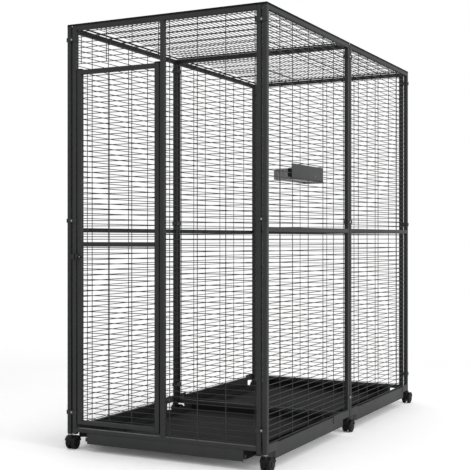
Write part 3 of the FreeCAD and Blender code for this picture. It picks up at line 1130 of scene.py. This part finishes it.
@dataclass
class Base:
    """The aprons with their end plates and the tray runners."""

    cage: Cage

    def build(self) -> None:
        """Models the aprons and runners and paints the plates above the casters."""
        for sign, side in ((-1, "left"), (1, "right")):
            for row in ("front", "rear"):
                self.apron(f"{side}_{row}_apron", sign)
                self.runner(f"{side}_{row}_runner", sign, row == "front")
        paint("apron_end_plates", COAT)

    def apron(self, node: str, sign: int) -> None:
        """Models one bent apron.

        Args:
            node: The apron's node.
            sign: -1 on the left and 1 on the right.
        """
        low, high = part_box(node)
        inner, skin = sorted((low.x, high.x), key=abs)
        behind = skin - sign * SHEET
        flange = behind - sign * APRON_FLANGE
        top = high.z if sign > 0 else high.z - APRON_TRIM
        sheets = [
            bar((skin, low.y, low.z), (behind, high.y, top)),
            bar((behind, low.y, low.z), (flange, high.y, low.z + SHEET)),
        ]
        ledge = bar((behind, low.y, top - SHEET), (inner, high.y, top))
        dress(soften(sheets, SHEET_ROUND), node)
        # Right ledges: the trays' dark coat is painted shade. Left ledges: the lighter coat is a painted
        # highlight.
        finish, slot = (TRAY, Slot.TRAY) if sign > 0 else (PAINTED_HIGHLIGHT, Slot.COAT)
        deliver(soften([ledge], SHEET_ROUND), node + "_ledge", finish, slot=slot)

    def runner(self, node: str, sign: int, at_front: bool) -> None:
        """Models one tray runner with its tongue and the stop at its open end.

        Args:
            node: The runner's node.
            sign: -1 on the left and 1 on the right.
            at_front: Whether the tray comes out at the front.
        """
        low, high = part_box(node)
        apron_low, apron_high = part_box(node.replace("runner", "apron"))
        tray_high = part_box("front_tray")[1]
        inner, outer = sorted((low.x, high.x), key=abs)
        tongue = sign * (self.cage.half_width - TONGUE_OUTER)
        stop = sign * (tray_high.x + RUNNER_STOP_GAP)
        tip, root = (low.y, apron_low.y) if at_front else (high.y, apron_high.y)
        lip = tip + SHEET if at_front else tip - SHEET
        top = low.z + SHEET
        sheets = [
            bar((outer, apron_low.y, low.z), (inner, apron_high.y, top)),
            bar((tongue, tip, low.z), (inner, root, top)),
            bar((tongue, tip, top), (stop, lip, high.z)),
        ]
        dress(soften(sheets, SHEET_ROUND, 1), node)


@dataclass
class FloorTray:
    """A pull-out floor tray: an open pan behind a tall face."""

    node: str
    sign: int

    def build(self) -> None:
        """Models the tray in place of its node."""
        low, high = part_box(self.node)
        face_y, far_y = (low.y, high.y) if self.sign < 0 else (high.y, low.y)
        behind = face_y - self.sign * SHEET
        face = bar((low.x, face_y, low.z), (high.x, behind, high.z))
        soften([face], SHEET_ROUND)
        pan = bar((low.x + TRAY_SIDE_INSET, behind, TRAY_FLOOR),
                  (high.x - TRAY_SIDE_INSET, far_y, TRAY_RIM))
        sink(pan, UP, TRAY_SHEET, TRAY_RIM - TRAY_FLOOR - TRAY_SHEET)
        deliver(face, self.node + "_face", COAT, self.node, Slot.TRAY)
        dress(pan, self.node, TRAY, self.node, Slot.TRAY)


@dataclass
class ClampSet:
    """The panel clamps: painted plates with zinc bolts through the panel gaps."""

    cage: Cage

    def build(self) -> None:
        """Paints the plates and sets a bolt on every clamp."""
        paint("panel_clamps", COAT)
        paint("clamp_back_plates", COAT)
        head = turned(rings(BOLT_RINGS, BOLT_RADIUS, BOLT_RISE), BOLT_SIDES)
        deliver(join(copies(head, self.spots())), "clamp_bolts", ZINC, slot=None)

    def spots(self) -> list[tuple[Vector, Vector]]:
        """Finds the outer face of each clamp, in the mesh gaps that hold them.

        Returns:
            A place and an outward axis for each bolt.
        """
        cage = self.cage
        gap = cage.half_width - (cage.tube + HALF_PANEL_GAP)
        side = cage.half_width + CLAMP_PLATE
        middle = (cage.front + cage.rear) / 2
        gaps = [z + PITCH / 2 for z in levels(cage.side_low, cage.rail_low)]
        found = []
        for aim in CLAMP_AIMS:
            z = min(gaps, key=lambda height: abs(height - aim))
            for sign in (-1, 1):
                found.append((Vector((sign * gap, cage.front - CLAMP_PLATE, z)), FORWARD))
                found.append((Vector((sign * gap, cage.rear + CLAMP_PLATE, z)), BACK))
                found.append((Vector((sign * side, middle, z)), Vector((sign, 0, 0))))
        return found


@dataclass
class Feeder:
    """The feeder on the right wall: plates, shelf with two openings, skirt and two pans."""

    def build(self) -> None:
        """Models the shelf, skirt, the dark strips painted as shade at the skirt's ends, pans, plates and
        bolt.
        """
        bodies = ("pan_front", "pan_rear")
        inset = Vector((PAN_RIM - PAN_HOLE_LAP, PAN_RIM - PAN_HOLE_LAP, 0))
        cutters = []
        for body in bodies:
            low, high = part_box("feeder_" + body)
            cutters.append(bar(low + inset, high - inset))
        dress(cut(bar(*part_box("feeder_shelf")), cutters), "feeder_shelf")
        self.skirt()
        for body in bodies:
            self.pan("feeder_" + body, body)
        self.plates()

    def plates(self) -> None:
        """Models the back plate, its cover plate outside the wires and the bolt."""
        low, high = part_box("feeder_back")
        foot, step = Vector((low.x, low.y, low.z + PLATE_TRIM)), Vector(PLATE_STEP)
        # The plates' lighter coat is painted light
        dress(soften([bar(foot, high), bar(foot + step, high + step)], SHEET_ROUND), "feeder_back", PLATE_LIT_COAT)
        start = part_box("right_front_panel")[0].y
        head = turned(rings(FEEDER_BOLT_RINGS, FEEDER_BOLT_RADIUS, BOLT_RISE), BOLT_SIDES)
        spot = Vector((high.x + step.x, start + FEEDER_BOLT_ALONG + step.y, FEEDER_BOLT_HEIGHT))
        deliver(place(head, spot, RIGHT), "feeder_bolt", DULL_STEEL, slot=None)

    def skirt(self) -> None:
        """Models the skirt under the shelf and the black strips at its ends, which are painted shade."""
        low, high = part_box("feeder_skirt")
        low = low + Vector((0, 0, SKIRT_TRIM))
        sheets = [bar(low, (low.x + SHEET, high.y, high.z))]
        for y in (low.y, high.y - SHEET):
            sheets.append(bar((low.x + SHEET, y, low.z), (high.x, y + SHEET, high.z)))
        dress(soften(sheets, SHEET_ROUND), "feeder_skirt", DULL_STEEL, slot=Slot.STEEL)
        # Black strips at the skirt's ends stand in for shade: painted shade
        shade_strips = []
        for y in (low.y - FEEDER_SHADE_SHEET, high.y):
            shade_strips.append(bar((high.x - FEEDER_SHADE_WIDTH, y, low.z + FEEDER_SHADE_FOOT),
                             (high.x, y + FEEDER_SHADE_SHEET, high.z + FEEDER_SHADE_HEAD)))
        deliver(soften(shade_strips, FEEDER_SHADE_SHEET / 4), "feeder_clips", PLASTIC, slot=Slot.PLASTIC)

    def pan(self, node: str, body: str) -> None:
        """Models one steel pan from its rim plate.

        Args:
            node: The pan's node.
            body: The body that carries it.
        """
        low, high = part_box(node)
        plate = bar((low.x, low.y, high.z - PAN_SHEET), high)
        sink(plate, -UP, PAN_RIM, high.z - PAN_SHEET - low.z)
        sink(plate, UP, PAN_RIM + PAN_SHEET, high.z - low.z - PAN_SHEET)
        dress(soften([plate], PAN_SHEET / 4), node, STEEL, body, Slot.STEEL)


@dataclass
class Caster:
    """A twin-wheel caster with a hood, modelled at its stem's axis."""

    place_name: str
    axle: Vector = field(init=False)
    radius: float = field(init=False)
    half_width: float = field(init=False)

    def build(self) -> None:
        """Models the housing and wheels in place of their nodes, and a nut on the stem: zinc on the front
        casters, and a black flange painted as shade on the others.
        """
        base = f"caster_{self.place_name}"
        wheels, housing = base + "_wheels", base + "_housing"
        low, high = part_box(wheels)
        self.axle = axle = (low + high) / 2
        self.radius = (high.z - low.z) / 2
        self.half_width = (high.x - low.x) / 2
        stem = Vector((axle.x, axle.y - TRAIL, 0))
        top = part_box(housing)[1].z
        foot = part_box("front_left_stile")[0].z - FOOT_CLEARANCE
        seat = foot - NUT_HEIGHT
        parts = [self.hood(), self.web()]
        profile = [(COLLAR_RADIUS, axle.z + self.radius / 2), (COLLAR_RADIUS, seat), (STEM_RADIUS, seat),
                   (STEM_RADIUS, top)]
        parts.append(place(turned(profile, COLLAR_SIDES), stem, UP))
        dress(join(parts), housing, PLASTIC, base + "_swivel", Slot.PLASTIC)
        at_front = self.place_name.endswith("front")
        # Painted shade: away from the front, a black flange stands in for the nut in shadow
        flange = (SHADE_FLANGE_REACH, SHADE_FLANGE_SIDES, PLASTIC)
        reach, sides, finish = (NUT_REACH, NUT_SIDES, ZINC) if at_front else flange
        inset = reach - NUT_CHAMFER
        profile = [(inset, seat), (reach, seat + NUT_CHAMFER), (reach, foot - NUT_CHAMFER), (inset, foot)]
        nut = turned(profile, sides)
        deliver(place(nut, stem, UP), housing + "_nut", finish, base + "_swivel", None)
        pair = [self.wheel(sign) for sign in (-1, 1)]
        hub = turned([(HUB_RADIUS, -WEB_WIDTH), (HUB_RADIUS, WEB_WIDTH)], HUB_SIDES)
        pair.append(place(hub, axle, RIGHT))
        dress(join(pair), wheels, TREAD, base + "_spin", Slot.TREAD)

    def hood(self) -> Piece:
        """Spins the hood's section about the axle.

        Returns:
            The hood.
        """
        deselect()
        turn = math.radians(HOOD_START)
        reach = self.radius + HOOD_GAP + HOOD_SHEET / 2
        spot = self.axle + Vector((0, math.cos(turn), math.sin(turn))) * reach
        bpy.ops.mesh.primitive_plane_add(size=1, location=spot, rotation=(turn, 0, 0))
        section = bpy.context.active_object
        section.scale = (2 * self.half_width, HOOD_SHEET, 1)
        settle()
        edit_all()
        sweep = math.radians(HOOD_SWEEP)
        bpy.ops.mesh.spin(steps=HOOD_STEPS, angle=sweep, center=self.axle, axis=(-1, 0, 0))
        turn_outwards()
        return section

    def web(self) -> Piece:
        """Turns the web between the wheels and cuts off its foot.

        Returns:
            The web.
        """
        rim = self.radius + HOOD_GAP + HOOD_SHEET / 2
        disc = turned([(rim, -WEB_WIDTH / 2), (rim, WEB_WIDTH / 2)], WEB_SIDES)
        place(disc, self.axle, RIGHT)
        edit_all()
        foot = self.axle - Vector((0, 0, WEB_FOOT))
        bpy.ops.mesh.bisect(plane_co=foot, plane_no=(0, 0, 1), use_fill=True, clear_inner=True)
        bpy.ops.object.mode_set(mode="OBJECT")
        return disc

    def wheel(self, sign: int) -> Piece:
        """Turns one wheel with a dished side and a hub cap.

        Args:
            sign: -1 for the left wheel and 1 for the right one.

        Returns:
            The wheel.
        """
        radius = self.radius
        inside = WEB_WIDTH / 2 + WHEEL_GAP
        thick = self.half_width - inside
        profile = [(radius - WHEEL_CHAMFER[0], 0), (radius, WHEEL_CHAMFER[1])]
        profile += [(radius - inset, thick * share) for inset, share in WHEEL_TREAD]
        profile += [(cap, thick * share) for cap, share in WHEEL_CAP]
        spot = self.axle + Vector((sign * inside, 0, 0))
        return place(turned(profile, WHEEL_SIDES), spot, Vector((sign, 0, 0)))


@dataclass(frozen=True)
class Studio:
    """The floor, the lights and the photograph's view."""

    floor_half: float = 60.0
    floor_rough: float = 0.9
    floor_tone: float = 0.86
    floor_seen: float = 1.46
    floor_far: float = 1.26
    floor_reach: Pair = (1.3, 2.6)
    floor_lift: float = 0.06
    sky: float = 0.62
    key: float = 2.5
    key_width: float = 40.0
    key_place: Triple = (5.0, 0.0, 3.0)
    key_aim: Triple = (-1.0, 0.05, -0.15)

    def build(self) -> None:
        """Sets up floor, world, lights and camera."""
        self.floor()
        self.world()
        self.sun()
        self.camera()
        bpy.context.scene.view_settings.view_transform = "Standard"

    def floor(self) -> None:
        """Lays the pale floor."""
        deselect()
        bpy.ops.mesh.primitive_plane_add(size=2 * self.floor_half, location=(0, 0, 0))
        floor = bpy.context.active_object
        floor.name = "studio_floor"
        made = bpy.data.materials.new("pale_floor")
        made.use_nodes = True
        tree = made.node_tree
        shader = tree.nodes["Principled BSDF"]
        fill(shader, Roughness=self.floor_rough, Specular_IOR_Level=0.0, Emission_Color=WHITE)
        to_camera = add_node(tree, "LightPath").outputs["Is Camera Ray"]
        spot = add_node(tree, "TexCoord")
        reach = add_node(tree, "VectorMath")
        reach.operation = "LENGTH"
        near, far = self.floor_reach
        seen = add_node(tree, "MapRange", From_Min=near, From_Max=far, To_Min=self.floor_seen,
                        To_Max=self.floor_far)
        tone = Finish.blend(tree, to_camera, (self.floor_tone,) * 3, (self.floor_seen,) * 3)
        lift = product(tree, to_camera, self.floor_lift)
        tree.links.new(spot.outputs["Object"], reach.inputs[0])
        tree.links.new(reach.outputs["Value"], seen.inputs["Value"])
        tree.links.new(seen.outputs["Result"], tone.inputs["B"])
        tree.links.new(lift, shader.inputs["Emission Strength"])
        tree.links.new(tone.outputs["Result"], shader.inputs["Base Color"])
        floor.data.materials.append(made)

    def world(self) -> None:
        """Makes the world white to the camera and softer as a light."""
        world = bpy.data.worlds.new("studio")
        bpy.context.scene.world = world
        world.use_nodes = True
        tree = world.node_tree
        glow = fill(tree.nodes["Background"], Color=WHITE, Strength=self.sky)
        seen = add_node(tree, "Background", Color=WHITE, Strength=1.0)
        path = add_node(tree, "LightPath")
        mix = add_node(tree, "MixShader")
        tree.links.new(path.outputs["Is Camera Ray"], mix.inputs[0])
        tree.links.new(glow.outputs["Background"], mix.inputs[1])
        tree.links.new(seen.outputs["Background"], mix.inputs[2])
        tree.links.new(mix.outputs["Shader"], tree.nodes["World Output"].inputs["Surface"])

    def sun(self) -> None:
        """Lights the right side with a broad, low sun that leaves out the left wall and the lips."""
        bpy.ops.object.light_add(type="SUN", location=self.key_place)
        sun = bpy.context.active_object
        sun.name = "key_light"
        sun.data.energy = self.key
        sun.data.angle = math.radians(self.key_width)
        sun.rotation_euler = Vector(self.key_aim).to_track_quat("-Z", "Y").to_euler()
        lit = bpy.data.collections.new("key_lit")
        sun.light_linking.receiver_collection = lit
        for item in bpy.data.objects:
            shaded = item.name.startswith("left_") or item.name.endswith("_lip")
            if item.type == "MESH" and not shaded:
                lit.objects.link(item)

    def camera(self) -> None:
        """Sets the camera where the photograph was taken from."""
        bpy.ops.object.camera_add(location=CAMERA_PLACE)
        camera = bpy.context.active_object
        camera.rotation_euler = CAMERA_AIM.to_track_quat("-Z", "Y").to_euler()
        camera.data.sensor_width = CAMERA_SENSOR
        camera.data.lens = CAMERA_LENS
        camera.data.shift_y = CAMERA_RISE
        camera.data.dof.use_dof = False
        bpy.context.scene.camera = camera


def main() -> None:
    """Builds every sub-assembly in order."""
    logging.basicConfig(level=logging.INFO, format="%(name)s: %(message)s")
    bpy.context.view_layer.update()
    cage = Cage.from_frame()
    for side, sign in (("left", -1), ("right", 1)):
        for row in ("front", "rear"):
            SideWall(f"{side}_{row}_panel", sign, cage).build()
    FrontWall(cage).build()
    RearWall(cage).build()
    for row in ("front", "rear"):
        RoofPanel(f"roof_{row}_panel", cage).build()
    PlainBars(("roof_cross_beam", "base_cross_tie")).build()
    DoorLeaf(cage).build()
    Latch(cage).build()
    Base(cage).build()
    FloorTray("front_tray", -1).build()
    FloorTray("rear_tray", 1).build()
    ClampSet(cage).build()
    Feeder().build()
    for side in ("left", "right"):
        for row in ("front", "middle", "rear"):
            Caster(f"{side}_{row}").build()
    Studio().build()


if __name__ == "__main__":
    main()
